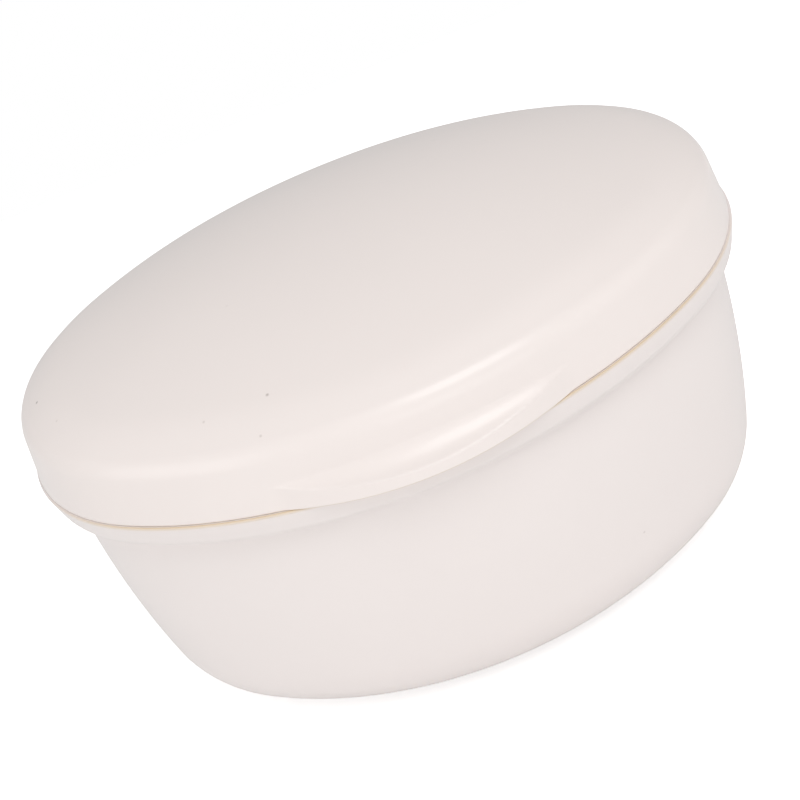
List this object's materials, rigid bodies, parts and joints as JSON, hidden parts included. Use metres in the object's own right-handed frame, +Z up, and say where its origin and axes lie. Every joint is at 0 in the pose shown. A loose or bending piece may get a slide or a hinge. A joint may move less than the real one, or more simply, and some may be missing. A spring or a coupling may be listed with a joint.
{
  "type": "covered soap dish",
  "caption": "Oval soap dish with a deep bowl, a lift-off domed lid with a thumb lip, and a loose slotted drain tray inside.",
  "frame": {"origin": "middle of the flat face that the dish stands on", "axes": "+X along the dish's length, +Y away from the thumb lip, +Z up"},
  "size_m": [0.1206, 0.0955, 0.0724],
  "materials": {
    "ivory_dish": "gloss",
    "ivory_lid": "gloss",
    "ivory_tray": "satin"
  },
  "bodies": {
    "dish": {"base": "ivory_dish", "drain_tray": "ivory_tray"},
    "cover": {"lid": "ivory_lid"}
  },
  "joints": [
    {"name": "lid_lift", "type": "slide", "parent": "dish", "child": "cover", "axis": [0, 0, 1], "range_m": [0, 0.08]}
  ]
}
